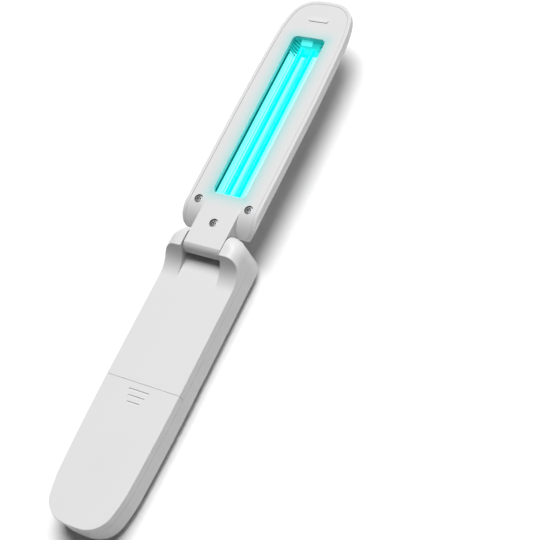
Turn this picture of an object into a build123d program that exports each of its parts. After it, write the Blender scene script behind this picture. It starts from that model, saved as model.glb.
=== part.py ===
from build123d import *
import math
import os

# Folding lamp wand, in millimetres. It is modelled lying open on its back.
# While modelling, x runs from the hinge axis towards the lamp, y across the body,
# and z up from the flat inner face of the handle. save() lifts it onto the floor.

# Battery cells, which set the width and the depth of the handle
cell_radius = 5.2
cell_gap = 0.3
cell_length = 43.7
cell_nub_radius = 1.9
cell_nub_length = 0.8
cell_edge_round = 0.4
cell_side_room = 1.7
cell_headroom = 0.7
cell_from_tip = 23.6
cradle_clearance = 0.1
tray_floor = 0.7
tray_gap = 0.7

# Body outline, shared by the handle and the head
handle_length = 130.6
tip_side_radius = 1056.0
tip_side_turn = 2.5
tip_flank_radius = 63.2
tip_flank_turn = 11.7
tip_corner_radius = 12.25
tip_corner_turn = 69.7
shell_wall = 1.4
joint_gap = 0.1

# Handle
parting_depth = 4.0
parting_round = 0.2
face_edge_round = 0.3
rim_depth = 12.0
rim_round = 0.8
cover_inset = 1.6
cover_edge = 0.2
cover_wall = 1.4
face_wall = 1.6
hinge_end = 7.6
hinge_corner_radius = 8.4
rim_lip_width = 1.2
rim_lip_height = 1.0

# Ears that carry the hinge
ear_height = 8.7
ear_round = 5.9
ear_inner = 10.1
scoop_start = -15.8
scoop_radius = 12.4
tongue_end = -2.65
pocket_depth = 1.4
tongue_edge_round = 0.4

# Hinge
fold_gap = 0.65
face_above_axis = 4.0
axis_height = fold_gap + face_above_axis
knuckle_radius = 4.3
knuckle_half_width = 9.6
bearing_inner = 6.2
pin_radius = 1.5
pin_bore_radius = 0.85
pin_outer_end = 14.6
bush_radius = 2.4
bush_clearance = 0.05
washer_radius = 3.6
washer_thickness = 0.3
lead_radius = 0.6
lead_slot_width = 2.4
lead_slot_depth = 1.7
lead_meeting = 6.0
lead_side = 3.9
lead_board_y = 4.5
lead_on_board = 7.0
lead_turn_x = 5.0

# Head
head_overhang = 1.9
head_depth = 8.45
head_round = 6.55
head_rim = 1.65
head_rim_gap = 0.1
head_edge_round = 0.3
rim_seam_round = 0.15
window_edge_round = 0.3
head_floor = 1.4
plate_wall = 1.6
shoulder_start = 20.0
shoulder_radius = 13.0
shoulder_parting = 6.4
shoulder_end_round = 0.9
neck_wall = 1.4
neck_lower_end = 12.0
neck_edge_round = 0.4
window_start = 24.7
window_from_tip = 21.1
window_half_width = 8.5
window_corner = 2.4
bumper_from_tip = 10.9
bumper_length = 10.3
bumper_width = 1.9
bumper_proud = 0.35
bumper_sunk = 0.8
finger_lip_reach = 1.3
finger_lip_width = 9.2
finger_lip_thickness = 1.6
finger_lip_below_face = 2.6
finger_lip_round = 0.4

# Screws in the face of the head
face_screw_x = 19.9
face_screw_y = 13.15
neck_screw_x = 10.1
screw_head_radius = 1.85
screw_head_height = 1.3
screw_head_sunk = 0.25
screw_shaft_radius = 0.9
screw_length = 5.6
screw_boss_radius = 2.5
screw_recess_gap = 0.2
screw_boss_gap = 0.6
screw_boss_sink = 0.4
cross_length = 2.2
cross_width = 0.5
cross_depth = 0.6

# Lamp
tube_radius = 1.25
tube_wall = 0.3
tube_spacing = 5.6
tube_depth = 3.15
tube_start = 21.5
tube_from_window_end = 4.0
bridge_radius = 0.8
bridge_from_tip = 4.0
lamp_base_start = 17.6
lamp_base_width = 12.4
lamp_base_above = 1.4
lamp_base_below = 2.5
lamp_spigot_length = 2.0
lamp_spigot_gap = 0.05
lamp_pin_pitch = 2.6
lamp_pin_radius = 0.4
lamp_pin_length = 2.4
socket_start = 14.4
reflector_sheet = 0.35
reflector_overlap = 0.8
reflector_valley_depth = 6.3
reflector_ridge_depth = 5.3
reflector_bend_depth = 5.6
reflector_bend_inset = 1.4
reflector_valley_inset = 3.6
reflector_ridge_half = 1.6
reflector_ridge_foot = 6.1
reflector_end_slope = 7.2
reflector_from_base = 1.5

# Power button, on the back
button_x = -15.6
bezel_radius = 6.5
bezel_inner_radius = 5.85
bezel_recess = 0.1
bezel_flange_radius = 7.3
bezel_flange_height = 0.4
button_radius = 5.7
button_flange_radius = 6.3
button_recess = 0.3
button_height = 1.7
button_flange_height = 0.8
button_travel = 0.5
icon_radius = 2.45
icon_stroke = 0.95
icon_gap_angle = 70.0
icon_bar_start = 0.25
icon_bar_length = 3.2
icon_depth = 1.2
icon_disc_radius = 3.6
icon_disc_height = 0.4

# Battery compartment
door_tuck = 3.1
door_gap = 0.15
door_wall = 1.3
tray_wall = 1.0
tray_side_drop = 1.5
tray_wall_rise = 4.0
tray_wall_margin = 0.3
contact_space = 1.2
contact_thickness = 0.3
contact_size = 7.0
contact_width = 2.4
contact_drop = 1.0
contact_bend = 0.4
contact_rise = 1.6
grip_from_seam = 3.4
grip_pitch = 2.8
grip_width = 0.8
grip_depth = 0.35
grip_lengths = [10.6, 8.6, 6.6]
tab_width = 2.4
tab_thickness = 1.05
tab_reach = 3.4
tab_root = 4.0
tab_gap = 0.15

# Electronics in the handle
board_thickness = 1.2
board_start = -10.0
board_tray_gap = 5.3
board_width = 27.0
board_post_radius = 2.2
post_end_margin = 3.5
post_side_margin = 3.2
board_screw_radius = 0.9
board_screw_reach = 4.2
board_screw_head = 1.7
board_screw_head_height = 1.0
switch_size = 6.0
switch_height = 2.5
plunger_radius = 1.5
plunger_height = 1.3
plunger_clearance = 0.1
plunger_spare_travel = 0.2
switch_gap = 0.8
transformer_from_end = 15.0
transformer_size = 13.0
transformer_core = 1.0
transformer_gap = 0.4
winding_size = 10.0
capacitor_y = 9.0
capacitor_start = -20.0
capacitor_length = 11.0
capacitor_radius = 2.5
tilt_x = -25.5
tilt_y = -9.4
tilt_radius = 2.6
tilt_gap = 0.8
led_from_button = 4.6
led_length = 1.6
led_width = 3.2
led_height = 0.8

# Sizes that follow
cell_pitch = 2 * cell_radius + cell_gap
half_width = cell_pitch + cell_radius + cell_side_room + shell_wall
cell_height = -(door_wall + cell_headroom + cell_radius)
tray_bottom = cell_height - cell_radius - cradle_clearance - tray_floor
handle_depth = cover_wall + tray_gap - tray_bottom
cover_inner = -handle_depth + cover_wall
cover_round = handle_depth - rim_depth - cover_edge
cell_end = -handle_length + cell_from_tip
cell_start = cell_end + cell_length + cell_nub_length
tray_start = cell_start + contact_space + tray_wall
tray_end = cell_end - contact_space - tray_wall
door_seam = cell_start - door_tuck
head_length = handle_length + head_overhang
middle_x = (head_length + finger_lip_reach - handle_length) / 2
head_face = fold_gap + 2 * face_above_axis
head_back = head_face - head_depth
window_end = head_length - window_from_tip
bumper_x = head_length - bumper_from_tip
tube_tip = window_end - tube_from_window_end
cap_face = -handle_depth + button_recess
cap_step = cap_face + button_height
cap_top = cap_step + button_flange_height
switch_bottom = cap_top + switch_gap
board_bottom = switch_bottom + switch_height
board_top = board_bottom + board_thickness
board_end = tray_start + board_tray_gap
board_screw_tip = board_top + board_screw_reach

os.makedirs("parts", exist_ok=True)


def save(name, shape):
    """Moves the finished piece so that the open wand is centred along x, with its back on z = 0."""
    shape = Pos(-middle_x, 0, handle_depth) * shape
    shape.label = name
    export_step(shape, f"parts/{name}.step")


def block(x_from, x_to, y_from, y_to, z_from, z_to):
    """A plain block between the given limits."""
    centre = ((x_from + x_to) / 2, (y_from + y_to) / 2, (z_from + z_to) / 2)
    return Pos(*centre) * Box(abs(x_to - x_from), abs(y_to - y_from), abs(z_to - z_from))


def rod_z(x, y, z_from, z_to, radius):
    """An upright cylinder."""
    return Pos(x, y, (z_from + z_to) / 2) * Cylinder(radius, abs(z_to - z_from))


def rod_y(x, z, y_from, y_to, radius):
    """A cylinder that runs across the body."""
    return Pos(x, (y_from + y_to) / 2, z) * Rot(90, 0, 0) * Cylinder(radius, abs(y_to - y_from))


def rod_x(y, z, x_from, x_to, radius):
    """A cylinder that runs along the body."""
    return Pos((x_from + x_to) / 2, y, z) * Rot(0, 90, 0) * Cylinder(radius, abs(x_to - x_from))


def both_sides(shape):
    """The shape and its mirror image across the body's middle plane."""
    return shape + mirror(shape, about=Plane.XZ)


def body_plan(length, root, corner):
    """Plan of a half of the wand: round tip at x = -length, root end at x = root."""
    side = JernArc((0, half_width), (-1, 0), tip_side_radius, tip_side_turn)
    flank = JernArc(side @ 1, side % 1, tip_flank_radius, tip_flank_turn)
    bend = JernArc(flank @ 1, flank % 1, tip_corner_radius, tip_corner_turn)
    left = 90 - tip_side_turn - tip_flank_turn - tip_corner_turn
    nose = JernArc(bend @ 1, bend % 1, (bend @ 1).Y / math.sin(math.radians(left)), left)
    tip = Pos(-length - (nose @ 1).X, 0)
    curves = [tip * curve for curve in (side, flank, bend, nose)]
    if corner > 0:
        turn = JernArc((root, half_width - corner), (0, 1), corner, 90)
        curves += [Line((root, 0), turn @ 0), turn, Line(turn @ 1, curves[0] @ 0)]
    else:
        square = (root, half_width)
        curves += [Line((root, 0), square), Line(square, curves[0] @ 0)]
    half = Curve() + curves
    return make_face(half.edges() + mirror(half, about=Plane.XZ).edges())


def prism(plan, z_from, z_to, inset=0.0):
    """The plan, drawn in by inset, made solid between two heights."""
    if inset:
        plan = offset(plan, amount=-inset)
    return Pos(0, 0, z_from) * extrude(plan, amount=z_to - z_from)


def rounded_below(solid, radius):
    """Rounds every edge of the lowest face."""
    return fillet(solid.faces().sort_by(Axis.Z)[0].edges(), radius)


def rounded_above(solid, radius):
    """Rounds every edge of the highest face."""
    return fillet(solid.faces().sort_by(Axis.Z)[-1].edges(), radius)


handle_plan = body_plan(handle_length, hinge_end, hinge_corner_radius)
head_plan = mirror(body_plan(head_length, -shoulder_start / 4, 0), about=Plane.YZ)

# Inner shell of the handle: the flat face, the upper band of its side wall, and two ears
ear_block = rounded_above(prism(handle_plan, -parting_depth, ear_height), ear_round)
ear_block &= block(scoop_start, hinge_end, -half_width, half_width, -parting_depth, ear_height)
ear_block -= block(scoop_start, hinge_end, -ear_inner, ear_inner, 0, ear_height)
ear_block -= rod_y(scoop_start, scoop_radius, -half_width, half_width, scoop_radius)
plate = prism(handle_plan, -parting_depth, 0)
plate &= block(door_seam + door_gap, scoop_start, -half_width, half_width, -parting_depth, 0)
inner_shell = plate + ear_block
inner_shell -= block(tongue_end, hinge_end, -ear_inner, ear_inner, -pocket_depth, 0)
crest_x = scoop_start + math.sqrt(scoop_radius ** 2 - (scoop_radius - ear_height) ** 2)
outer_edges = inner_shell.edges().filter_by(
    lambda edge: (edge @ 0.5).Z > -joint_gap and abs((edge @ 0.5).Y) > half_width - ear_round
    and (edge @ 0.5).X < crest_x + face_edge_round)
inner_shell = rounded_below(fillet(outer_edges, face_edge_round), parting_round)
shell_cavity = prism(handle_plan, -parting_depth, -face_wall, shell_wall)
shell_cavity &= block(door_seam, tongue_end - face_wall, -half_width, half_width,
                      -parting_depth, -face_wall)
inner_shell -= shell_cavity
pin_hole = rod_y(0, axis_height, ear_inner, pin_outer_end, pin_radius)
inner_shell -= both_sides(pin_hole)
lead_slot_to = pin_outer_end + lead_slot_depth
inner_shell -= block(-lead_slot_width / 2, lead_slot_width / 2, pin_outer_end, lead_slot_to,
                     -parting_depth, axis_height + lead_slot_width / 2)
post_y = board_width / 2 - post_side_margin
post_places = [(x, side * post_y)
               for x in (board_start - post_end_margin, board_end + post_end_margin)
               for side in (1, -1)]
for x, y in post_places:
    inner_shell += rod_z(x, y, board_top, -face_wall, board_post_radius)
    inner_shell -= rod_z(x, y, board_top, board_screw_tip, board_screw_radius)
tongue_edge = inner_shell.edges().filter_by(Axis.Y).filter_by_position(
    Axis.Z, -0.01, 0.01).filter_by_position(Axis.X, tongue_end - 0.01, tongue_end + 0.01)
inner_shell = fillet(tongue_edge, tongue_edge_round)
save("handle_inner_shell", inner_shell)

# Outer shell of the handle: a ring of wall with a lip inside that carries the back cover
outer_shell = rounded_below(prism(handle_plan, -rim_depth, -parting_depth), rim_round)
outer_shell = rounded_above(outer_shell, parting_round)
ring_top = -rim_depth + rim_lip_height
outer_shell -= prism(handle_plan, ring_top, -parting_depth, shell_wall)
outer_shell -= prism(handle_plan, -rim_depth, ring_top, shell_wall + rim_lip_width)
save("handle_outer_shell", outer_shell)

# Back cover: a shallow pillow, let into the back within an even margin
cover = rounded_below(prism(handle_plan, -handle_depth, -rim_depth, cover_inset), cover_round)
cover_hollow = rounded_below(
    prism(handle_plan, cover_inner, -rim_depth, cover_inset + cover_wall), cover_round - cover_wall)
cover -= cover_hollow
cover -= rod_z(button_x, 0, -handle_depth, cover_inner, bezel_radius)
save("back_cover", cover)

# Power button: bezel, cap with a lit symbol, and the plunger of its switch
bezel_face = -handle_depth + bezel_recess
bezel = rod_z(button_x, 0, bezel_face, cover_inner, bezel_radius)
bezel += rod_z(button_x, 0, cover_inner, cover_inner + bezel_flange_height, bezel_flange_radius)
bezel -= rod_z(button_x, 0, bezel_face, cover_inner + bezel_flange_height, bezel_inner_radius)
save("button_bezel", bezel)

cap = rod_z(button_x, 0, cap_face, cap_step, button_radius)
cap += rod_z(button_x, 0, cap_step, cap_top, button_flange_radius)
icon_top = cap_face + icon_depth
ring = Circle(icon_radius + icon_stroke / 2) - Circle(icon_radius - icon_stroke / 2)
gap_reach = 2 * icon_radius
gap_half = gap_reach * math.tan(math.radians(icon_gap_angle / 2))
ring -= Polygon((0, 0), (gap_reach, gap_half), (gap_reach, -gap_half), align=None)
bar = Pos(icon_bar_start + icon_bar_length / 2, 0) * Rectangle(icon_bar_length, icon_stroke)
icon = Pos(button_x, 0, cap_face) * extrude(ring + bar, amount=icon_depth)
icon += rod_z(button_x, 0, icon_top, icon_top + icon_disc_height, icon_disc_radius)
save("power_button_cap", cap - icon)
save("power_symbol", icon)
plunger_top = cap_top + plunger_height
save("switch_plunger", rod_z(button_x, 0, cap_top, plunger_top, plunger_radius))

# Switch and circuit board
switch = block(button_x - switch_size / 2, button_x + switch_size / 2,
               -switch_size / 2, switch_size / 2, switch_bottom, board_bottom)
switch -= rod_z(button_x, 0, switch_bottom, plunger_top + button_travel + plunger_spare_travel,
                plunger_radius + plunger_clearance)
save("push_switch", switch)

board = block(board_start, board_end, -board_width / 2, board_width / 2, board_bottom, board_top)
cross_recess = Rectangle(cross_length, cross_width) + Rectangle(cross_width, cross_length)
board_screws = None
for x, y in post_places:
    board -= rod_z(x, y, board_bottom, board_top, board_screw_radius + joint_gap)
    head_bottom = board_bottom - board_screw_head_height
    screw = rod_z(x, y, board_bottom, board_screw_tip, board_screw_radius)
    screw += rod_z(x, y, head_bottom, board_bottom, board_screw_head)
    screw -= Pos(x, y, head_bottom) * extrude(cross_recess, amount=cross_depth)
    board_screws = screw if board_screws is None else board_screws + screw
save("main_board", board)
save("board_screws", board_screws)

winding_bottom = board_top + transformer_core
winding_top = -face_wall - transformer_gap - transformer_core
core_place = Pos(board_end + transformer_from_end, 0)
core_plate = Rectangle(transformer_size, transformer_size)
transformer = core_place * Pos(0, 0, board_top) * extrude(core_plate, amount=transformer_core)
transformer += core_place * Pos(0, 0, winding_bottom) * extrude(
    Rectangle(winding_size, winding_size), amount=winding_top - winding_bottom)
transformer += core_place * Pos(0, 0, winding_top) * extrude(core_plate, amount=transformer_core)
save("inverter_transformer", transformer)
save("storage_capacitor", rod_x(capacitor_y, board_top + capacitor_radius,
                                capacitor_start - capacitor_length, capacitor_start,
                                capacitor_radius))
save("tilt_switch", rod_z(tilt_x, tilt_y, board_top, -face_wall - tilt_gap, tilt_radius))
led_start = button_x + led_from_button
save("indicator_led", block(led_start, led_start + led_length, -led_width / 2, led_width / 2,
                            board_bottom - led_height, board_bottom))

# Battery door: slides off the round end and carries its part of the side wall
door = rounded_above(prism(handle_plan, -parting_depth, 0), face_edge_round)
door = rounded_below(door, parting_round)
door &= block(-handle_length, door_seam, -half_width, half_width, -parting_depth, 0)
door_hollow = prism(handle_plan, -parting_depth, -door_wall, shell_wall)
door_hollow &= block(-handle_length, door_seam, -half_width, half_width, -parting_depth, -door_wall)
door -= door_hollow
for index, length in enumerate(grip_lengths):
    x = door_seam - grip_from_seam - index * grip_pitch
    groove = Pos(x, 0, -grip_depth) * extrude(
        SlotOverall(length, grip_width, rotation=90), amount=grip_depth)
    door -= groove
tab_top = -face_wall - tab_gap
tab_bottom = tab_top - tab_thickness
for side in (1, -1):
    tab_from = side * cell_pitch / 2 - tab_width / 2
    tab_to = tab_from + tab_width
    door += block(door_seam - tab_root, door_seam + tab_reach, tab_from, tab_to, tab_bottom, tab_top)
    door += block(door_seam - tab_root, door_seam - door_gap, tab_from, tab_to, tab_top, -door_wall)
save("battery_door", door)

# Battery tray, three cells and their contacts
cavity = prism(handle_plan, -rim_depth, -parting_depth, shell_wall + rim_lip_width + joint_gap)
cavity += Pos(0, 0, joint_gap) * cover_hollow
tray_top = cell_height - tray_side_drop
tray_wall_top = cell_height + tray_wall_rise
wall_y = cell_pitch + contact_size / 2 + tray_wall_margin
tray = block(tray_end, tray_start, -half_width, half_width, tray_bottom, tray_top)
tray += block(tray_end, tray_end + tray_wall, -wall_y, wall_y, tray_bottom, tray_wall_top)
tray += block(tray_start - tray_wall, tray_start, -wall_y, wall_y, tray_bottom, tray_wall_top)
tray &= cavity + block(tray_end, tray_start, -wall_y, wall_y, -parting_depth, tray_wall_top)
cell_rows = [-cell_pitch, 0, cell_pitch]
for y in cell_rows:
    tray -= rod_x(y, cell_height, tray_end + tray_wall, tray_start - tray_wall,
                  cell_radius + cradle_clearance)
save("battery_tray", tray)

contacts = None
for index, y in enumerate(cell_rows):
    flip = index % 2 == 0
    body_from = cell_start if flip else cell_start - cell_nub_length
    cell = rod_x(y, cell_height, body_from - cell_length, body_from, cell_radius)
    cell = fillet(cell.edges().filter_by(GeomType.CIRCLE), cell_edge_round)
    nub_x = body_from - cell_length - cell_nub_length if flip else body_from
    cell += rod_x(y, cell_height, nub_x, nub_x + cell_nub_length, cell_nub_radius)
    save(f"battery_cell_{index + 1}", cell)
    half = contact_size / 2
    leaf_from = y - contact_width / 2
    leaf_to = y + contact_width / 2
    leaf_bottom = cell_height - contact_drop
    for wall_x, cell_x in ((tray_start - tray_wall, cell_start), (tray_end + tray_wall, cell_end)):
        step = math.copysign(contact_thickness, cell_x - wall_x)
        leaf = block(wall_x, wall_x + step, y - half, y + half,
                     cell_height - half, cell_height + half)
        leaf += block(wall_x, cell_x, leaf_from, leaf_to, leaf_bottom, leaf_bottom + contact_bend)
        leaf += block(cell_x - step, cell_x, leaf_from, leaf_to, leaf_bottom,
                      cell_height + contact_rise)
        contacts = leaf if contacts is None else contacts + leaf
save("battery_contacts", contacts)

# Hinge: two hollow pins fixed in the ears, bushes in the neck, and friction washers
pins = rod_y(0, axis_height, bearing_inner, pin_outer_end, pin_radius)
pins -= rod_y(0, axis_height, bearing_inner, pin_outer_end, pin_bore_radius)
save("hinge_pins", both_sides(pins))
bush = rod_y(0, axis_height, bearing_inner, knuckle_half_width, bush_radius)
bush -= rod_y(0, axis_height, bearing_inner, knuckle_half_width, pin_radius + bush_clearance)
save("hinge_bushes", both_sides(bush))
washer = rod_y(0, axis_height, ear_inner - washer_thickness, ear_inner, washer_radius)
washer -= rod_y(0, axis_height, ear_inner - washer_thickness, ear_inner, pin_radius)
save("friction_washers", both_sides(washer))


def shoulder_keep(radius):
    """The room inside the shoulder's curve, for cutting shells to its profile."""
    centre = head_face - shoulder_radius
    keep = rod_y(shoulder_start, centre, -half_width, half_width, radius)
    keep += block(shoulder_start, head_length, -half_width, half_width, head_back,
                  head_face - shoulder_radius + radius)
    return keep


# Outer shell of the head: a shallow tray with a raised rim and the lower half of the neck
hull = rounded_below(prism(head_plan, head_back, head_face), head_round)
hull = rounded_above(hull, head_edge_round)
hull &= shoulder_keep(shoulder_radius)
hull = fillet(hull.edges().filter_by(Axis.Y).sort_by(Axis.X)[0], shoulder_end_round)
tray_hollow = rounded_below(
    prism(head_plan, head_back + head_floor, head_face, head_rim), head_round - head_rim)
parting_z = head_face - shoulder_parting
mouth = tray_hollow & block(-shoulder_start, head_length, -half_width, half_width,
                            parting_z, head_face)
well = tray_hollow & shoulder_keep(shoulder_radius - head_rim)
neck_outline = rod_y(0, axis_height, -knuckle_half_width, knuckle_half_width, knuckle_radius)
neck_outline += block(0, shoulder_start, -knuckle_half_width, knuckle_half_width,
                      axis_height - knuckle_radius, head_face)
neck_outline &= block(-knuckle_radius, shoulder_start, -knuckle_half_width, knuckle_half_width,
                      axis_height - knuckle_radius, head_face)
neck_sides = neck_outline.faces().filter_by(Axis.Y)
neck_outline = fillet(neck_sides.edges(), neck_edge_round)
neck_lower = neck_outline & block(-knuckle_radius, neck_lower_end, -knuckle_half_width,
                                  knuckle_half_width, 0, axis_height)
neck_room = rod_y(0, axis_height, -bearing_inner, bearing_inner, knuckle_radius - neck_wall)
neck_room += block(0, knuckle_radius, -bearing_inner, bearing_inner,
                   axis_height - knuckle_radius + neck_wall, head_face - plate_wall)
inner_half = knuckle_half_width - neck_wall
neck_room += block(knuckle_radius - neck_wall, shoulder_start, -inner_half, inner_half,
                   axis_height - knuckle_radius + neck_wall, head_face - plate_wall)
bush_seat = rod_y(0, axis_height, -knuckle_half_width, knuckle_half_width, bush_radius)
lip_top = head_face - finger_lip_below_face
lip_bottom = lip_top - finger_lip_thickness
finger_lip = Pos(0, 0, lip_bottom) * extrude(
    offset(head_plan, amount=finger_lip_reach), amount=finger_lip_thickness)
finger_lip &= block(head_length - head_rim, head_length + finger_lip_reach,
                    -finger_lip_width / 2, finger_lip_width / 2, lip_bottom, lip_top)
lip_corners = finger_lip.edges().filter_by(Axis.Z).filter_by(
    lambda edge: (edge @ 0.5).X > head_length
    and abs((edge @ 0.5).Y) > finger_lip_width / 2 - joint_gap)
finger_lip = fillet(lip_corners, finger_lip_round)
head_shell = hull + finger_lip - mouth - well + neck_lower - neck_room - bush_seat
screw_places = [
    (face_screw_x, face_screw_y),
    (face_screw_x, -face_screw_y),
    (neck_screw_x, 0),
]
boss_top = head_face - plate_wall - screw_boss_gap
boss_bottom = head_back + head_floor
for x, y in screw_places:
    head_shell += rod_z(x, y, boss_bottom - screw_boss_sink, boss_top, screw_boss_radius)
    head_shell -= rod_z(x, y, boss_bottom, boss_top, screw_shaft_radius)
save("head_outer_shell", head_shell)

# Inner plate of the head: window, two falling shoulders, and the upper half of the neck
plate_inset = head_rim + head_rim_gap
plate_body = rounded_below(
    prism(head_plan, head_back + head_floor + head_rim_gap, head_face, plate_inset),
    head_round - plate_inset)
plate_body = rounded_above(plate_body, rim_seam_round)
plate_body &= block(0, head_length, -half_width, half_width, parting_z, head_face)
plate_body &= shoulder_keep(shoulder_radius)
plate_body -= shoulder_keep(shoulder_radius - plate_wall)
neck_upper = neck_outline & block(-knuckle_radius, shoulder_start, -knuckle_half_width,
                                  knuckle_half_width, axis_height, head_face)
head_plate = plate_body - neck_lower + neck_upper - neck_room - bush_seat
window_length = window_end - window_start
window = Pos((window_start + window_end) / 2, 0, head_face) * extrude(
    RectangleRounded(window_length, 2 * window_half_width, window_corner), amount=-plate_wall)
head_plate -= window
window_middle = (window_start + window_end) / 2
window_edges = head_plate.edges().filter_by(
    lambda edge: abs((edge @ 0.5).Z - head_face) < joint_gap
    and abs((edge @ 0.5).X - window_middle) < window_length / 2 + joint_gap
    and abs((edge @ 0.5).Y) < window_half_width + joint_gap)
head_plate = fillet(window_edges, window_edge_round)
screw_top = head_face - screw_head_sunk
screw_seat = screw_top - screw_head_height
for x, y in screw_places:
    head_plate += rod_z(x, y, boss_top, screw_seat, screw_boss_radius)
    head_plate -= rod_z(x, y, screw_seat, head_face, screw_head_radius + screw_recess_gap)
    head_plate -= rod_z(x, y, boss_top, screw_seat, screw_shaft_radius + joint_gap)
bumper_shape = SlotOverall(bumper_length, bumper_width, rotation=90)
bumper = Pos(bumper_x, 0, head_face - bumper_sunk) * extrude(
    bumper_shape, amount=bumper_sunk + bumper_proud)
head_plate -= bumper
save("head_inner_plate", head_plate)
save("fold_bumper", bumper)

screws = None
for x, y in screw_places:
    screw = rod_z(x, y, screw_seat, screw_top, screw_head_radius)
    screw += rod_z(x, y, screw_top - screw_length, screw_seat, screw_shaft_radius)
    screw -= Pos(x, y, screw_top - cross_depth) * extrude(cross_recess, amount=cross_depth)
    screws = screw if screws is None else screws + screw
save("face_screws", screws)

# Reflector: one folded sheet behind the tubes, closed by a sloping wall at each end
reflector_start = tube_start + reflector_from_base
reflector_end = window_end + reflector_overlap
reflector_half = window_half_width + reflector_overlap
reflector_top = -plate_wall - joint_gap / 2
fold_line = [
    (reflector_half, reflector_top),
    (reflector_half - reflector_bend_inset, -reflector_bend_depth),
    (reflector_half - reflector_valley_inset, -reflector_valley_depth),
    (reflector_ridge_half, -reflector_ridge_foot),
    (0, -reflector_ridge_depth),
]
upper = fold_line + [(-y, z) for y, z in reversed(fold_line[:-1])]
lower = [(y, z - reflector_sheet) for y, z in reversed(upper)]
section = Polygon(*upper, *lower, align=None)
cross_plane = Plane(origin=(reflector_start, 0, head_face), x_dir=(0, 1, 0), z_dir=(1, 0, 0))
reflector = extrude(cross_plane * section, amount=reflector_end - reflector_start)
side_plane = Plane(origin=(0, -reflector_half, head_face), x_dir=(1, 0, 0), z_dir=(0, -1, 0))
slope_foot = reflector_end - reflector_end_slope
slope_section = Polygon(
    (reflector_end, reflector_top),
    (slope_foot, -reflector_valley_depth),
    (slope_foot - reflector_sheet, -reflector_valley_depth),
    (reflector_end - reflector_sheet, reflector_top),
    align=None)
filled = Polygon(*upper, align=None)
envelope = extrude(cross_plane * filled, amount=reflector_end - reflector_start)
reflector += extrude(side_plane * slope_section, amount=-2 * reflector_half) & envelope
save("reflector", reflector)

# Lamp: two thin tubes joined near the tip, in a base that plugs into a socket
tube_z = head_face - tube_depth
tube_rows = [tube_spacing / 2, -tube_spacing / 2]
lamp_glass = None
for y in tube_rows:
    tube = rod_x(y, tube_z, tube_start, tube_tip - tube_radius, tube_radius)
    tube += Pos(tube_tip - tube_radius, y, tube_z) * Sphere(tube_radius)
    lamp_glass = tube if lamp_glass is None else lamp_glass + tube
bridge_x = tube_tip - bridge_from_tip
lamp_glass += rod_y(bridge_x, tube_z, -tube_spacing / 2, tube_spacing / 2, bridge_radius)
for y in tube_rows:
    lamp_glass -= rod_x(y, tube_z, tube_start, tube_tip - tube_radius, tube_radius - tube_wall)
lamp_glass -= rod_y(bridge_x, tube_z, -tube_spacing / 2, tube_spacing / 2,
                    bridge_radius - tube_wall)
save("lamp_tubes", lamp_glass)
base_half = lamp_base_width / 2
base_z = (tube_z - lamp_base_below, tube_z + lamp_base_above)
lamp_base = block(lamp_base_start, tube_start, -base_half, base_half, *base_z)
for y in tube_rows:
    lamp_base += rod_x(y, tube_z, tube_start, tube_start + lamp_spigot_length,
                       tube_radius - tube_wall - lamp_spigot_gap)
save("lamp_base", lamp_base)
lamp_pins = None
lamp_socket = block(socket_start, lamp_base_start, -base_half, base_half, *base_z)
for step in (-1.5, -0.5, 0.5, 1.5):
    y = step * lamp_pin_pitch
    pin = rod_x(y, tube_z, lamp_base_start - lamp_pin_length, lamp_base_start, lamp_pin_radius)
    lamp_pins = pin if lamp_pins is None else lamp_pins + pin
    lamp_socket -= rod_x(y, tube_z, lamp_base_start - lamp_pin_length, lamp_base_start,
                         lamp_pin_radius + lamp_spigot_gap)
save("lamp_pins", lamp_pins)
save("lamp_socket", lamp_socket)


def lead(points, radii):
    """A round lead along straight runs joined by tangent arcs."""
    path = FilletPolyline(*points, radius=radii)
    start = Plane(origin=path @ 0, z_dir=path % 0)
    return sweep(start * Circle(lead_radius), path=path)


# Lead from the board to the lamp, met end to end on the hinge axis inside the neck
lead_column = pin_outer_end + lead_slot_depth / 2
lead_low = board_top + lead_radius
handle_lead = lead([
    (board_start - lead_on_board, lead_board_y, lead_low),
    (board_start + lead_turn_x, lead_board_y, lead_low),
    (0, lead_column, lead_low),
    (0, lead_column, axis_height),
    (0, lead_meeting, axis_height),
], [2.5, 2.0, 0.8])
save("handle_lead", handle_lead)
head_lead = lead([
    (0, lead_meeting, axis_height),
    (0, lead_side, axis_height),
    (socket_start, lead_side, axis_height),
], [1.5])
save("head_lead", head_lead)
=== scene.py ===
import math

import bpy
import numpy as np
from mathutils import Matrix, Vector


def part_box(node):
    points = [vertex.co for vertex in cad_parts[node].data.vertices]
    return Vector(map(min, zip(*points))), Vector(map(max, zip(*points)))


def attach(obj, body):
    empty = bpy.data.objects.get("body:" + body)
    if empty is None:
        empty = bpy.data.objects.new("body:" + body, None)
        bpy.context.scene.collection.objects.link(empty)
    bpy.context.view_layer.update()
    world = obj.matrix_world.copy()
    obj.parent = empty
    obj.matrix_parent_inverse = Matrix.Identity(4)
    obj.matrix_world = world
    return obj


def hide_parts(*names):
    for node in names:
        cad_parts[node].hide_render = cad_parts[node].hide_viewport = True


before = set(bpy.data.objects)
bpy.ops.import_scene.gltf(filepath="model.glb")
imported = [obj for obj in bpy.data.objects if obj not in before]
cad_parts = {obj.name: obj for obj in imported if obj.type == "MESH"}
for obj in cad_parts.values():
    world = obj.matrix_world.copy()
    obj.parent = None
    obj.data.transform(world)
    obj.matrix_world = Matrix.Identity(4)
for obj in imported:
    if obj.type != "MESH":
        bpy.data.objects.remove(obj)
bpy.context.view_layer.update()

# Studio. The wand lies on a plain white floor under one large soft light, high up beyond its tip,
# with a weak fill on its right side. The camera looks down from beyond the handle's round end
# with a short telephoto lens.
floor_reach = 4.0
floor_drop = 0.00002
floor_white = (0.85, 0.85, 0.85)
floor_roughness = 0.9
floor_gloss = 0.1
sky_strength = 0.05
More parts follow.
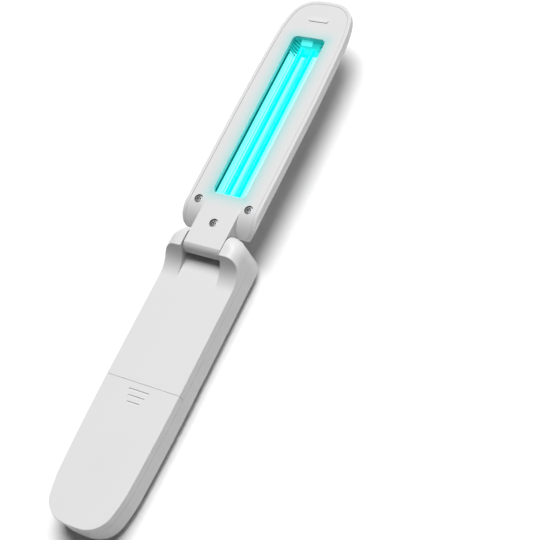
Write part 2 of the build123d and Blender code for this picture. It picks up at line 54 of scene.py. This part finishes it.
camera_place = (-0.19330, -0.31408, 0.46926)
camera_right = (0.4194, -0.8389, -0.3469)
camera_down = (-0.8434, -0.2187, -0.4907)
camera_forward = (0.3358, 0.4984, -0.7993)
camera_sensor = 36.0
camera_lens = 89.81
camera_clip = 0.01


def new_material(name):
    """An empty node material, with its node tree and its principled shader."""
    material = bpy.data.materials.new(name)
    material.use_nodes = True
    return material, material.node_tree, material.node_tree.nodes["Principled BSDF"]


def mesh_object(name, parts, material, smooth=True):
    """One mesh object at the origin from several (points, faces) pairs."""
    points, faces, first = [], [], 0
    for part_points, part_faces in parts:
        points += np.asarray(part_points, float).tolist()
        faces += [[first + corner for corner in face] for face in part_faces]
        first = len(points)
    mesh = bpy.data.meshes.new(name)
    mesh.from_pydata(points, [], faces)
    mesh.polygons.foreach_set("use_smooth", [smooth] * len(mesh.polygons))
    mesh.materials.append(material)
    mesh.update()
    piece = bpy.data.objects.new(name, mesh)
    bpy.context.scene.collection.objects.link(piece)
    return piece


floor_material, tree, shader = new_material("studio_floor")
shader.inputs["Base Color"].default_value = (*floor_white, 1)
shader.inputs["Roughness"].default_value = floor_roughness
shader.inputs["Specular IOR Level"].default_value = floor_gloss
floor_corners = [(side_x * floor_reach, side_y * floor_reach, -floor_drop)
                 for side_x, side_y in ((-1, -1), (1, -1), (1, 1), (-1, 1))]
mesh_object("studio_floor", [(floor_corners, [[0, 1, 2, 3]])], floor_material)


def turned_to(right, up, back):
    """The turning matrix whose three columns are the given axes."""
    return Matrix(np.column_stack([right, up, back]).tolist()).to_4x4()


def sun(name, direction, strength, spread):
    """A light so far away that it falls evenly, from the given direction.

    Its z axis is the direction at length 1, its x axis stands across both that and y."""
    light = bpy.data.lights.new(name, "SUN")
    light.energy = strength
    light.angle = math.radians(spread)
    lamp = bpy.data.objects.new(name, light)
    z_axis = np.array(direction, float) / np.linalg.norm(direction)
    x_axis = np.cross((0, 1, 0), z_axis)
    x_axis /= np.linalg.norm(x_axis)
    lamp.matrix_world = turned_to(x_axis, np.cross(z_axis, x_axis), z_axis)
    bpy.context.scene.collection.objects.link(lamp)


sun("overhead_light", direction=(0.50, -0.04, 1.0), strength=4.08, spread=38)
sun("right_fill", direction=(0.35, -1.0, 0.25), strength=0.06, spread=30)

world = bpy.data.worlds.new("studio")
world.use_nodes = True
sky = world.node_tree.nodes["Background"]
sky.inputs["Color"].default_value = (1, 1, 1, 1)
sky.inputs["Strength"].default_value = sky_strength
bpy.context.scene.world = world

camera_data = bpy.data.cameras.new("camera")
camera_data.sensor_width = camera_sensor
camera_data.lens = camera_lens
camera_data.clip_start = camera_clip
camera = bpy.data.objects.new("camera", camera_data)
camera_turn = turned_to(camera_right, -np.array(camera_down), -np.array(camera_forward))
camera.matrix_world = Matrix.Translation(camera_place) @ camera_turn
bpy.context.scene.collection.objects.link(camera)
bpy.context.scene.camera = camera
bpy.context.scene.view_settings.view_transform = "Standard"

# Shells of the handle and the head. Injection moulded white ABS, spark eroded to a fine satin
# grain. Each pair meets at a thin parting line that the rounded edges open up. The battery door
# and the head's inner plate are mouldings of the same batch.
shell_white = (0.63, 0.63, 0.63)
shell_finish = {"roughness": 0.48, "grain": 0.00025, "depth": 0.000015}
cloud_scale = 45
cloud_share = 0.015
grain_strength = 0.2
shine_range = 0.05
plastic_ior = 1.5
coat_roughness = 0.08


def finish_node(node, material):
    """Gives a node of the frame its material."""
    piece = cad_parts[node]
    piece.data.materials.clear()
    piece.data.materials.append(material)


def ranged(tree, source, low, high, start=0.0, end=1.0):
    """Turns start..end of a value into low..high in a straight line, and stops at both."""
    node = tree.nodes.new("ShaderNodeMapRange")
    node.inputs["From Min"].default_value = start
    node.inputs["From Max"].default_value = end
    node.inputs["To Min"].default_value = low
    node.inputs["To Max"].default_value = high
    tree.links.new(source, node.inputs["Value"])
    return node.outputs["Result"]


def noise(tree, place, scale, detail=2.0):
    """The value of a noise texture on the given coordinates."""
    node = tree.nodes.new("ShaderNodeTexNoise")
    node.inputs["Scale"].default_value = scale
    node.inputs["Detail"].default_value = detail
    tree.links.new(place, node.inputs["Vector"])
    return node.outputs["Fac"]


def object_place(tree):
    """Object coordinates, in metres in the wand's own frame."""
    return tree.nodes.new("ShaderNodeTexCoord").outputs["Object"]


def tinted(tree, colour, factor):
    """A colour times a value."""
    node = tree.nodes.new("ShaderNodeVectorMath")
    node.operation = "SCALE"
    node.inputs[0].default_value = colour
    tree.links.new(factor, node.inputs["Scale"])
    return node.outputs["Vector"]


def bumped(tree, shader, height, distance, strength):
    """A bump on the shader from a height value, deep as the distance in metres."""
    node = tree.nodes.new("ShaderNodeBump")
    node.inputs["Strength"].default_value = strength
    node.inputs["Distance"].default_value = distance
    tree.links.new(height, node.inputs["Height"])
    tree.links.new(node.outputs["Normal"], shader.inputs["Normal"])


def moulded(name, colour, roughness, grain, depth, coat=0.0):
    """Moulded plastic: a fine grain in the bump and the gloss, slight clouding in the colour."""
    material, tree, shader = new_material(name)
    place = object_place(tree)
    clouds = noise(tree, place, cloud_scale, detail=3)
    cloud = ranged(tree, clouds, 1 - cloud_share, 1 + cloud_share)
    tree.links.new(tinted(tree, colour, cloud), shader.inputs["Base Color"])
    fine = noise(tree, place, 1 / grain)
    bumped(tree, shader, fine, depth, grain_strength)
    shine = ranged(tree, fine, roughness - shine_range, roughness + shine_range)
    tree.links.new(shine, shader.inputs["Roughness"])
    shader.inputs["IOR"].default_value = plastic_ior
    shader.inputs["Coat Weight"].default_value = coat
    shader.inputs["Coat Roughness"].default_value = coat_roughness
    return material


satin_shell = moulded("satin_white_shell", shell_white, **shell_finish)
for node in ("handle_inner_shell", "handle_outer_shell", "battery_door", "head_outer_shell"):
    finish_node(node, satin_shell)

# Head inner plate. The flat face with the lamp's window, of the same white ABS. A soft cyan rim of
# light from the lit tubes is painted into its base colour: painted light that fades out a few
# millimetres from a lit rectangle that follows the window within a millimetre.
lit_start = 0.0230
lit_end = 0.1090
lit_half_width = 0.0085
glow_reach = 0.0075
painted_glow_tint = (0.50, 1.0, 0.98)


def maths(tree, operation, first, second=None):
    """A maths node on values, numbers or both."""
    node = tree.nodes.new("ShaderNodeMath")
    node.operation = operation
    for socket, value in enumerate((first, second)):
        if isinstance(value, (int, float)):
            node.inputs[socket].default_value = value
        elif value is not None:
            tree.links.new(value, node.inputs[socket])
    return node.outputs["Value"]


def split_place(tree):
    """Object coordinates as three values."""
    split = tree.nodes.new("ShaderNodeSeparateXYZ")
    tree.links.new(object_place(tree), split.inputs["Vector"])
    return split.outputs


def past_edge(tree, value, middle, half_width):
    """How far a value lies beyond a strip about its middle, squared, and 0 inside the strip."""
    from_middle = maths(tree, "SUBTRACT", value, middle)
    beyond = maths(tree, "SUBTRACT", maths(tree, "ABSOLUTE", from_middle), half_width)
    return maths(tree, "POWER", maths(tree, "MAXIMUM", beyond, 0.0), 2.0)


plate_material = moulded("satin_white_plate", shell_white, **shell_finish)
tree = plate_material.node_tree
shader = tree.nodes["Principled BSDF"]
place_axes = split_place(tree)
lit_middle = (lit_start + lit_end) / 2
beyond_x = past_edge(tree, place_axes["X"], lit_middle, lit_end - lit_middle)
beyond_y = past_edge(tree, place_axes["Y"], 0.0, lit_half_width)
from_lit = maths(tree, "SQRT", maths(tree, "ADD", beyond_x, beyond_y))
closeness = ranged(tree, from_lit, 1.0, 0.0, start=0.0, end=glow_reach)
# Painted light: the base colour is multiplied by the cyan tint close to the window.
glow = tree.nodes.new("ShaderNodeMix")
glow.data_type = "RGBA"
glow.blend_type = "MULTIPLY"
glow.inputs[7].default_value = (*painted_glow_tint, 1)
tree.links.new(maths(tree, "POWER", closeness, 2.0), glow.inputs[0])
tree.links.new(shader.inputs["Base Color"].links[0].from_socket, glow.inputs[6])
tree.links.new(glow.outputs[2], shader.inputs["Base Color"])
finish_node("head_inner_plate", plate_material)

# Back cover. A glossy pillow-shaped panel of polished white ABS, let into the back within an
# even margin and carried by the lip inside the outer shell.
gloss_white = (0.68, 0.68, 0.68)
gloss_shell = moulded("gloss_white_cover", gloss_white,
                      roughness=0.14, grain=0.003, depth=0.000004, coat=0.5)
finish_node("back_cover", gloss_shell)

# Power button. A glossy white cap in a grey lacquered ring; the symbol in its middle is a light
# guide that carries the light of the diode on the board to the outside. The cap's plunger works
# a small push switch on the board.
ring_grey = (0.20, 0.205, 0.21)
guide_cyan = (0.02, 0.55, 0.60)
guide_light = (0.0, 0.75, 0.85)
guide_strength = 0.35
nylon_black = (0.02, 0.02, 0.02)
switch_black = (0.03, 0.03, 0.03)

finish_node("power_button_cap", gloss_shell)
finish_node("button_bezel", moulded("grey_gloss_ring", ring_grey,
                                    roughness=0.16, grain=0.001, depth=0.000004, coat=0.6))
symbol_material, tree, shader = new_material("cyan_light_guide")
shader.inputs["Base Color"].default_value = (*guide_cyan, 1)
shader.inputs["Roughness"].default_value = 0.25
shader.inputs["Emission Color"].default_value = (*guide_light, 1)
shader.inputs["Emission Strength"].default_value = guide_strength
finish_node("power_symbol", symbol_material)
finish_node("switch_plunger", moulded("black_nylon", nylon_black,
                                      roughness=0.4, grain=0.0004, depth=0.00001))
finish_node("push_switch", moulded("switch_body", switch_black,
                                   roughness=0.5, grain=0.0004, depth=0.00001))

# Fold bumper. A soft white silicone pill that keeps the folded head off the battery door.
silicone_white = (0.66, 0.66, 0.66)
finish_node("fold_bumper", moulded("white_silicone", silicone_white,
                                   roughness=0.55, grain=0.0006, depth=0.00001))

# Face screws. Three steel pan head screws with a cross recess, one in the neck and one in each
# shoulder. They hold the two halves of the head together.
screw_steel = (0.30, 0.30, 0.31)
screw_head_radius = 0.00185
screw_head_height = 0.0013
screw_crown = 0.00012
screw_rim_start = 0.86
screw_rim_drop = 0.00030
screw_shaft_radius = 0.0009
screw_length = 0.0056
screw_tip_radius = 0.0003
screw_tip_length = 0.0006
cross_length = 0.0022
cross_width = 0.00055
cross_depth = 0.0006
cross_softness = 0.00010
screw_steps = 96
scratch_scale = 900.0
scratch_range = 0.06


def metal(name, colour, roughness):
    """Bare metal, with a slightly uneven gloss."""
    material, tree, shader = new_material(name)
    shader.inputs["Base Color"].default_value = (*colour, 1)
    shader.inputs["Metallic"].default_value = 1.0
    scratches = noise(tree, object_place(tree), scratch_scale, detail=3)
    uneven = ranged(tree, scratches, roughness - scratch_range, roughness + scratch_range)
    tree.links.new(uneven, shader.inputs["Roughness"])
    return material


def ring_solid(rings):
    """A closed solid from rings of points, of which the first and the last shrink to a point.

    The rings are an array of ring, step round the ring, and x, y, z. Neighbouring rings are
    joined by quads, the two ends by triangles. If the first fan of triangles faces the middle
    of the solid, every face is turned round."""
    ring_count, around = rings.shape[:2]
    inner = ring_count - 2
    points = np.vstack([rings[1:-1].reshape(-1, 3), rings[0].mean(0), rings[-1].mean(0)])
    turn = np.arange(around)
    after = (turn + 1) % around
    ring = np.arange(inner - 1)[:, None] * around
    quads = np.stack([ring + turn, ring + after, ring + around + after, ring + around + turn], -1)
    start = np.stack([np.full(around, inner * around), after, turn], -1)
    last = (inner - 1) * around
    end = np.stack([last + turn, last + after, np.full(around, inner * around + 1)], -1)
    faces = quads.reshape(-1, 4).tolist() + start.tolist() + end.tolist()
    fan = points[start]
    outward = fan.mean((0, 1)) - points.mean(0)
    normal = np.cross(fan[:, 1] - fan[:, 0], fan[:, 2] - fan[:, 0]).sum(0)
    if np.dot(normal, outward) < 0:
        faces = [face[::-1] for face in faces]
    return points, faces


def step_up(value, edge, width):
    """Rises smoothly from 0 below the edge to 1 above it, over the given width.

    With s the share of the width that is passed, it is 3 s squared less 2 s cubed."""
    share = np.clip((value - edge) / width + 0.5, 0, 1)
    return share * share * (3 - 2 * share)


def slot_arm(along, across):
    """1 within one arm of the cross recess and 0 outside it, with soft edges."""
    return (step_up(cross_width / 2 - abs(across), 0, cross_softness)
            * step_up(cross_length / 2 - abs(along), 0, cross_softness))


def screw_solid(centre_x, centre_y, top):
    """A pan head screw: a crowned head, less two crossed slots, above a straight shaft.

    The crown falls with the square of the radius, and the rim by a quarter of an ellipse."""
    radii = np.concatenate([np.linspace(0, 0.90, 34), np.linspace(0.92, 1, 7)]) * screw_head_radius
    share = radii / screw_head_radius
    rim = np.clip((share - screw_rim_start) / (1 - screw_rim_start), 0, 1)
    crown = -screw_crown * share ** 2 - screw_rim_drop * (1 - np.sqrt(1 - rim ** 2))
    bottom = top - screw_head_height
    tip = top - screw_length
    profile = [(radius, top + height) for radius, height in zip(radii, crown)]
    profile += [(screw_head_radius, bottom), (screw_shaft_radius, bottom)]
    profile += [(screw_shaft_radius, tip + screw_tip_length), (screw_tip_radius, tip), (0, tip)]
    profile = np.array(profile)
    angle = np.linspace(0, 2 * math.pi, screw_steps, endpoint=False)
    x = profile[:, :1] * np.cos(angle)
    y = profile[:, :1] * np.sin(angle)
    z = np.repeat(profile[:, 1:], len(angle), axis=1)
    on_head = (np.arange(len(profile)) < len(radii))[:, None]
    z = z - cross_depth * np.maximum(slot_arm(x, y), slot_arm(y, x)) * on_head
    return ring_solid(np.stack([x + centre_x, y + centre_y, z], -1))


low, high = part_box("face_screws")
neck_x = low[0] + screw_head_radius
shoulder_x = high[0] - screw_head_radius
shoulder_y = high[1] - screw_head_radius
screw_places = ((neck_x, 0), (shoulder_x, shoulder_y), (shoulder_x, -shoulder_y))
screws = mesh_object("face_screw_set", [screw_solid(x, y, high[2]) for x, y in screw_places],
                     metal("plain_steel", screw_steel, 0.42))
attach(screws, "head")
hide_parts("face_screws")

# Reflector. One sheet of bright anodised aluminium, folded into long facets behind the tubes.
# Its far end slopes up to the window, and the corners there are pressed into small ribs. The
# colours on it and its glow are painted light and shade: the cyan light that each facet gets
# from the tubes.
sheet_thickness = 0.00035
fold_across = np.array([0.0, 1.6, 5.7, 7.9, 9.3]) * 0.001
fold_depth = np.array([-5.3, -6.1, -6.3, -5.6, -1.65]) * 0.001
facet_steps = 13
plain_steps = 40
fine_steps = 120
fine_length = 0.012
fine_gap = 0.0001
end_slope = 0.0072
rib_start = 0.0085
rib_stop = 0.0012
rib_inner = 0.0053
rib_outer = 0.0090
rib_pitch = 0.0014
rib_height = 0.00035
rib_slant = 0.5
middle_facet = 0.0019
wall_facet = 0.0058
window_rim = 0.00862
fold_line = (0.0069, 0.0075)
slope_line_shift = 0.0004
patch_from_end = (0.0008, 0.0030)
patch_across = (-0.0009, 0.0049)
pale_cyan = (0.50, 1.0, 1.0)
wall_cyan = (0.24, 0.97, 0.97)
turquoise = (0.065, 0.80, 0.76)
mid_teal = (0.02, 0.50, 0.47)
light_patch = (0.12, 0.90, 0.86)
rib_teal = (0.0, 0.20, 0.19)
deep_teal = (0.0, 0.10, 0.09)
painted_sheet_glow = 0.5
sheet_gloss = 0.08

low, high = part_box("reflector")
face_level = high[2] - fold_depth[-1]
across = np.unique(np.concatenate(
    [np.linspace(start, end, facet_steps)
     for start, end in zip(fold_across[:-1], fold_across[1:])]))
across = np.concatenate([-across[:0:-1], across])
along = np.concatenate([np.linspace(low[0], high[0] - fine_length, plain_steps),
                        np.linspace(high[0] - (fine_length - fine_gap), high[0], fine_steps)])
x, y = np.meshgrid(along, across, indexing="ij")
folds = np.interp(abs(y), fold_across, fold_depth)
slope = fold_depth[-1] + (x - high[0]) * (fold_depth[-1] - fold_depth.min()) / end_slope
from_end = high[0] - x
ribbed = (step_up(rib_start - from_end, 0, 0.0004) * step_up(from_end - rib_stop, 0, 0.0006)
          * step_up(abs(y) - rib_inner, 0, 0.0004) * step_up(rib_outer - abs(y), 0, 0.0003))
rib_place = from_end + rib_slant * abs(y)
ribs = rib_height * ribbed * abs(np.sin(math.pi * rib_place / rib_pitch))
z = face_level + np.maximum(folds + ribs, slope)
points = np.stack([x, y, z], -1).reshape(-1, 3)
rows, columns = x.shape
row = np.arange(rows - 1)[:, None] * columns
column = np.arange(columns - 1)
quads = np.stack([row + column, row + columns + column, row + columns + column + 1,
                  row + column + 1], -1).reshape(-1, 4).tolist()
sheet_material, tree, shader = new_material("bright_anodised_sheet")
place = object_place(tree)
# The sheet's base colour and its glow both come from its layer of painted light and shade.
painted_light_node = tree.nodes.new("ShaderNodeVertexColor")
painted_light_node.layer_name = "sheet_painted_light"
tree.links.new(painted_light_node.outputs["Color"], shader.inputs["Base Color"])
tree.links.new(painted_light_node.outputs["Color"], shader.inputs["Emission Color"])
shader.inputs["Emission Strength"].default_value = painted_sheet_glow
tree.links.new(ranged(tree, noise(tree, place, 300, 3), 0.26, 0.38), shader.inputs["Roughness"])
shader.inputs["Specular IOR Level"].default_value = sheet_gloss
bumped(tree, shader, noise(tree, place, 500), 0.00001, 0.15)
reflector = mesh_object("folded_reflector", [(points, quads)], sheet_material, smooth=False)


def layered(base, layers):
    """Colours over the sheet: each layer covers what lies under it where its mask is 1."""
    colour = np.ones((*x.shape, 3)) * base
    for mask, tone in layers:
        colour = colour * (1 - mask[..., None]) + np.array(tone) * mask[..., None]
    return colour


def between(value, limits, soft):
    """1 between two limits and 0 outside them, with soft edges."""
    return step_up(value - limits[0], 0, soft) * step_up(limits[1] - value, 0, soft)


before_slope = step_up(high[0] - end_slope + slope_line_shift - x, 0, 0.0003)
on_patch = between(from_end, patch_from_end, 0.0003) * between(y, patch_across, 0.0003)
rib_shade = ribbed * (0.5 + 0.5 * np.cos(2 * math.pi * rib_place / rib_pitch))
# Painted light and shade from the tubes: pale cyan, wall cyan and turquoise facets painted lit, a
# deep teal strip at the window rim, a mid teal fold line and end slope painted in shade, a light
# patch painted as a highlight on the slope, and painted shade across the ribs.
colours = layered(pale_cyan, [
    (1 - step_up(abs(y), middle_facet, 0.0003), turquoise),
    (step_up(abs(y), wall_facet, 0.0010), wall_cyan),
    (step_up(abs(y), window_rim, 0.0001), deep_teal),
    (between(abs(y), fold_line, 0.0002), mid_teal),
    (1 - before_slope, mid_teal),
    (on_patch, light_patch),
    (rib_shade, rib_teal),
])
painted_light_layer = reflector.data.color_attributes.new("sheet_painted_light", "FLOAT_COLOR", "POINT")
painted_light_layer.data.foreach_set("color", np.dstack([colours, np.ones(x.shape)]).ravel())
thicken = reflector.modifiers.new("sheet", "SOLIDIFY")
thicken.thickness = sheet_thickness
thicken.offset = -1
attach(reflector, "head")
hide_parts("reflector")

# Lamp. Two thin quartz tubes, joined by a bridge near their tips, on a white ceramic base with
# four brass pins, which plug into a socket. The gas in the tubes glows cyan over their whole
# width when they are lit.
quartz_cyan = (0.0, 0.20, 0.22)
gas_cyan = (0.0, 1.0, 1.0)
gas_strength = (1.35, 1.55)
ceramic_white = (0.70, 0.70, 0.68)
pin_brass = (0.70, 0.52, 0.22)
socket_grey = (0.55, 0.55, 0.53)

tube_material, tree, shader = new_material("lit_quartz_tube")
shader.inputs["Base Color"].default_value = (*quartz_cyan, 1)
shader.inputs["Roughness"].default_value = 0.12
shader.inputs["Specular IOR Level"].default_value = 0.08
shader.inputs["Emission Color"].default_value = (*gas_cyan, 1)
gas = ranged(tree, noise(tree, object_place(tree), 90), *gas_strength)
tree.links.new(gas, shader.inputs["Emission Strength"])
finish_node("lamp_tubes", tube_material)
finish_node("lamp_base", moulded("white_ceramic", ceramic_white,
                                 roughness=0.3, grain=0.0008, depth=0.00001))
finish_node("lamp_pins", metal("lamp_pin_brass", pin_brass, 0.25))
finish_node("lamp_socket", moulded("heatproof_moulding", socket_grey,
                                   roughness=0.5, grain=0.0005, depth=0.00001))

# Hinge. Hollow steel pins fixed in the ears turn in brass bushes in the neck, with a spring
# steel friction washer on each side.
pin_steel = (0.58, 0.58, 0.60)
bush_brass = (0.72, 0.52, 0.22)
washer_steel = (0.40, 0.40, 0.42)
finish_node("hinge_pins", metal("turned_steel", pin_steel, 0.25))
finish_node("hinge_bushes", metal("turned_brass", bush_brass, 0.28))
finish_node("friction_washers", metal("spring_steel", washer_steel, 0.35))

# Battery cells. Three AAA cells, the middle one turned round against the outer two: a steel can
# with a crimped end and a nub, in a plain printed sleeve that is shrunk over both rims. The
# sleeve is dark, with a copper band at the end that has the nub.
can_grey = (0.62, 0.62, 0.60)
sleeve_dark = (0.02, 0.025, 0.03)
sleeve_copper = (0.42, 0.23, 0.07)
sleeve_metallic = 0.4
sleeve_coat = 0.6
sleeve_rise = 0.00012
band_length = 0.0131
band_softness = 0.0001
cell_steps = 64
can_steel = metal("can_steel", can_grey, 0.22)


def printed_sleeve(name, nub_end, nub_side):
    """The film of a cell whose nub points along x to the given side, up to the given end."""
    material, tree, shader = new_material(name)
    band = ranged(tree, split_place(tree)["X"], 0.0, 1.0,
                  start=nub_end - nub_side * (band_length + band_softness),
                  end=nub_end - nub_side * (band_length - band_softness))
    ramp = tree.nodes.new("ShaderNodeValToRGB")
    ramp.color_ramp.elements[0].color = (*sleeve_dark, 1)
    ramp.color_ramp.elements[1].color = (*sleeve_copper, 1)
    tree.links.new(band, ramp.inputs["Fac"])
    tree.links.new(ramp.outputs["Color"], shader.inputs["Base Color"])
    shader.inputs["Metallic"].default_value = sleeve_metallic
    shader.inputs["Coat Weight"].default_value = sleeve_coat
    shine = ranged(tree, noise(tree, object_place(tree), 700), 0.24, 0.34)
    tree.links.new(shine, shader.inputs["Roughness"])
    return material


def turned_x(profile, centre_y, centre_z):
    """A solid turned round a line along x, from (x, radius) pairs with radius 0 at both ends.

    Each pair becomes a circle: y and z are the radius times cosine and sine of the angle."""
    profile = np.array(profile, float)
    angle = np.linspace(0, 2 * math.pi, cell_steps, endpoint=False)
    x = np.repeat(profile[:, :1], cell_steps, axis=1)
    y = centre_y + profile[:, 1:] * np.cos(angle)
    z = centre_z + profile[:, 1:] * np.sin(angle)
    return ring_solid(np.stack([x, y, z], -1))


def can_profile(length, radius):
    """The bare can, from its flat end to its nub."""
    return [
        (0, 0), (0, 0.0030), (0.00015, 0.0034), (0.00015, radius - 0.0005),
        (0.0003, radius - 0.0001), (0.0006, radius), (length - 0.0016, radius),
        (length - 0.0011, radius - 0.0002), (length - 0.0009, radius - 0.0007),
        (length - 0.0009, 0.0030), (length - 0.0008, 0.0021), (length - 0.0002, 0.0019),
        (length, 0.0016), (length, 0),
    ]


def sleeve_profile(length, radius):
    """The sleeve, from the rim of the flat end to the rim round the nub."""
    return [
        (0.0004, 0), (0.0004, radius - 0.0010), (0.00035, radius - 0.0006),
        (0.0006, radius - 0.00008), (0.0009, radius), (length - 0.0019, radius),
        (length - 0.0014, radius - 0.0001), (length - 0.0011, radius - 0.0006),
        (length - 0.0012, radius - 0.0012), (length - 0.0012, 0),
    ]


cell_low, cell_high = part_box("battery_cell_2")
sleeve_films = {1: printed_sleeve("plain_sleeve", cell_high[0], 1),
                -1: printed_sleeve("plain_sleeve_turned", cell_low[0], -1)}
for node, nub_side in (("battery_cell_1", -1), ("battery_cell_2", 1), ("battery_cell_3", -1)):
    low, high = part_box(node)
    length = high[0] - low[0]
    radius = (high[1] - low[1]) / 2
    centre_y = (low[1] + high[1]) / 2
    centre_z = (low[2] + high[2]) / 2
    flat_end = low[0] if nub_side > 0 else high[0]
    layers = (("can", can_profile(length, radius - sleeve_rise), can_steel),
              ("sleeve", sleeve_profile(length, radius), sleeve_films[nub_side]))
    for layer, profile, material in layers:
        placed = [(flat_end + nub_side * distance, size) for distance, size in profile]
        piece = mesh_object(f"{node}_{layer}", [turned_x(placed, centre_y, centre_z)], material)
        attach(piece, "handle")
        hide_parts(node)

# Battery tray and contacts. The tray is a natural white moulding with three cradles; the
# contacts are bent nickel plated strips pressed onto its end walls.
natural_white = (0.62, 0.61, 0.57)
nickel = (0.66, 0.63, 0.58)
finish_node("battery_tray", moulded("natural_abs", natural_white,
                                    roughness=0.5, grain=0.0004, depth=0.000015))
finish_node("battery_contacts", metal("nickel_strip", nickel, 0.28))

# Circuit board. Green glass-epoxy with the lamp driver on it, held by four small screws. The
# traces lie under the mask and show as faint lines.
mask_green = (0.010, 0.085, 0.030)
mask_light_green = (0.014, 0.110, 0.040)
trace_green = (0.030, 0.190, 0.070)
trace_scale = 260
trace_width = 0.03
screw_zinc = (0.60, 0.60, 0.62)

mask_material, tree, shader = new_material("green_board")
traces = tree.nodes.new("ShaderNodeTexBrick")
traces.inputs["Scale"].default_value = trace_scale
traces.inputs["Color1"].default_value = (*mask_green, 1)
traces.inputs["Color2"].default_value = (*mask_light_green, 1)
traces.inputs["Mortar"].default_value = (*trace_green, 1)
traces.inputs["Mortar Size"].default_value = trace_width
tree.links.new(object_place(tree), traces.inputs["Vector"])
tree.links.new(traces.outputs["Color"], shader.inputs["Base Color"])
shader.inputs["Roughness"].default_value = 0.28
finish_node("main_board", mask_material)
finish_node("board_screws", metal("zinc_plate", screw_zinc, 0.3))

# Parts on the board. A transformer wound with varnished copper wire and a sleeved capacitor
# drive the lamp, a drawn metal can holds the tilt switch, and a clear diode lights the symbol.
winding_copper = (0.42, 0.17, 0.04)
winding_scale = 520
winding_unevenness = 0.6
winding_depth = 0.00008
sleeve_black = (0.015, 0.015, 0.05)
can_bright = (0.66, 0.66, 0.66)
epoxy_clear = (0.60, 0.66, 0.66)

winding_material, tree, shader = new_material("varnished_winding")
turns = tree.nodes.new("ShaderNodeTexWave")
turns.bands_direction = "Z"
turns.inputs["Scale"].default_value = winding_scale
turns.inputs["Distortion"].default_value = winding_unevenness
tree.links.new(object_place(tree), turns.inputs["Vector"])
wire_shade = ranged(tree, turns.outputs["Fac"], 0.6, 1.0)
tree.links.new(tinted(tree, winding_copper, wire_shade), shader.inputs["Base Color"])
shader.inputs["Metallic"].default_value = 0.5
shader.inputs["Roughness"].default_value = 0.35
bumped(tree, shader, turns.outputs["Fac"], winding_depth, 0.5)
finish_node("inverter_transformer", winding_material)
finish_node("storage_capacitor", moulded("dark_sleeve", sleeve_black,
                                         roughness=0.3, grain=0.001, depth=0.00001))
finish_node("tilt_switch", metal("drawn_can", can_bright, 0.3))
finish_node("indicator_led", moulded("clear_epoxy", epoxy_clear,
                                     roughness=0.15, grain=0.001, depth=0.000005))

# Leads. One two-core sleeve from the board to the hinge and one on to the lamp socket.
lead_red = (0.42, 0.02, 0.015)
lead_material = moulded("red_lead_sleeve", lead_red, roughness=0.42, grain=0.0006, depth=0.00001)
finish_node("handle_lead", lead_material)
finish_node("head_lead", lead_material)
